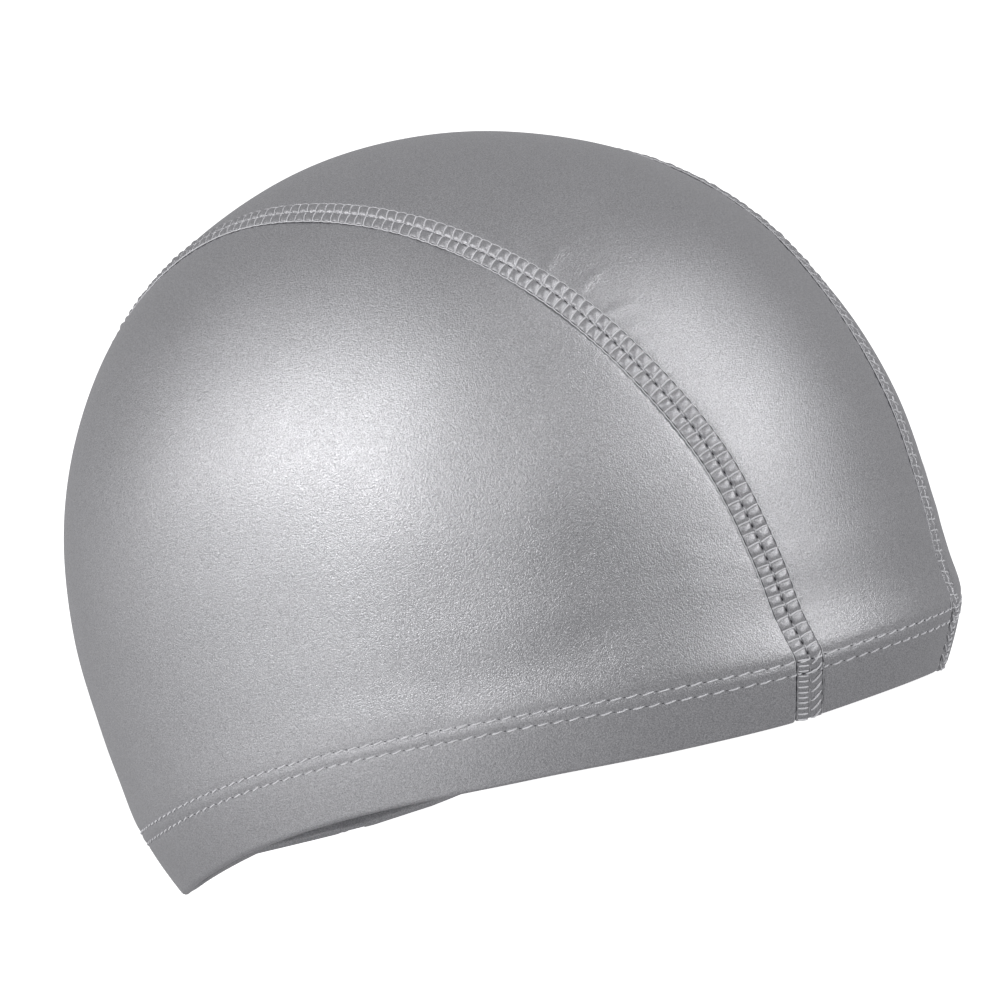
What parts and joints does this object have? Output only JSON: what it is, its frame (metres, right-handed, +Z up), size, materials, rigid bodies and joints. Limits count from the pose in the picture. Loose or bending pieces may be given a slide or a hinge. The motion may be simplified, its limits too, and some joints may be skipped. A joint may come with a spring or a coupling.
{
  "type": "stretch swim cap",
  "caption": "Coated stretch-cloth swim cap in lengthwise panels joined by flat ladder seams, with a folded hem that turns inward.",
  "frame": {"origin": "middle of the bounding box on the surface that the rim stands on", "axes": "+X to the wearer's forehead, +Y to the wearer's left ear, +Z up through the crown"},
  "size_m": [0.204, 0.16, 0.142],
  "materials": {
    "coated_cloth": "pearl silver coating, satin",
    "hem_cloth": "pearl silver coating, satin, folded double",
    "seam_thread": "grey flatlock thread over coated cloth"
  },
  "bodies": {
    "root": {"centre_panel": "coated_cloth", "left_side_panel": "coated_cloth", "right_side_panel": "coated_cloth", "hem_band": "hem_cloth", "left_seam": "seam_thread", "right_seam": "seam_thread"}
  },
  "joints": []
}
